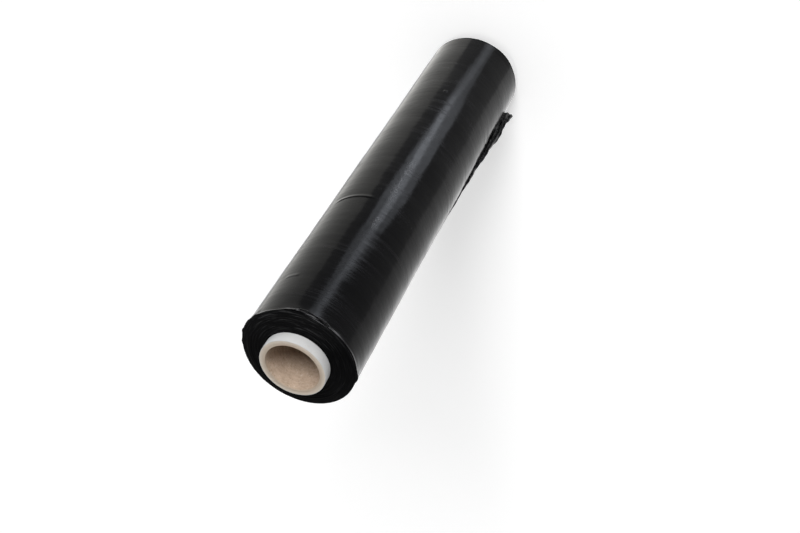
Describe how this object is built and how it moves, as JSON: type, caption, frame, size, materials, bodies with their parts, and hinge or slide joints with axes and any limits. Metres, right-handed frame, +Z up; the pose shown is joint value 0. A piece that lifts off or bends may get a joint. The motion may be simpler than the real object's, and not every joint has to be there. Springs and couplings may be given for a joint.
{
  "type": "stretch wrap roll",
  "caption": "Hand roll of black stretch film wound on a paper-covered board core that stands out at both ends, with a crumpled loose tail of film at one side.",
  "frame": {"origin": "on the core's axis, in the plane of the core's lower cut end", "axes": "+Z up along the core's axis; the free edge of the film and its crumpled tail are on the -X side; the camera side is -Y"},
  "size_m": [0.116, 0.105, 0.526],
  "materials": {
    "board": "matt",
    "white_paper": "matt",
    "black_film": "gloss"
  },
  "bodies": {
    "root": {"board_core": "board", "core_cover_ply": "white_paper", "film_winding": "black_film"}
  },
  "joints": []
}
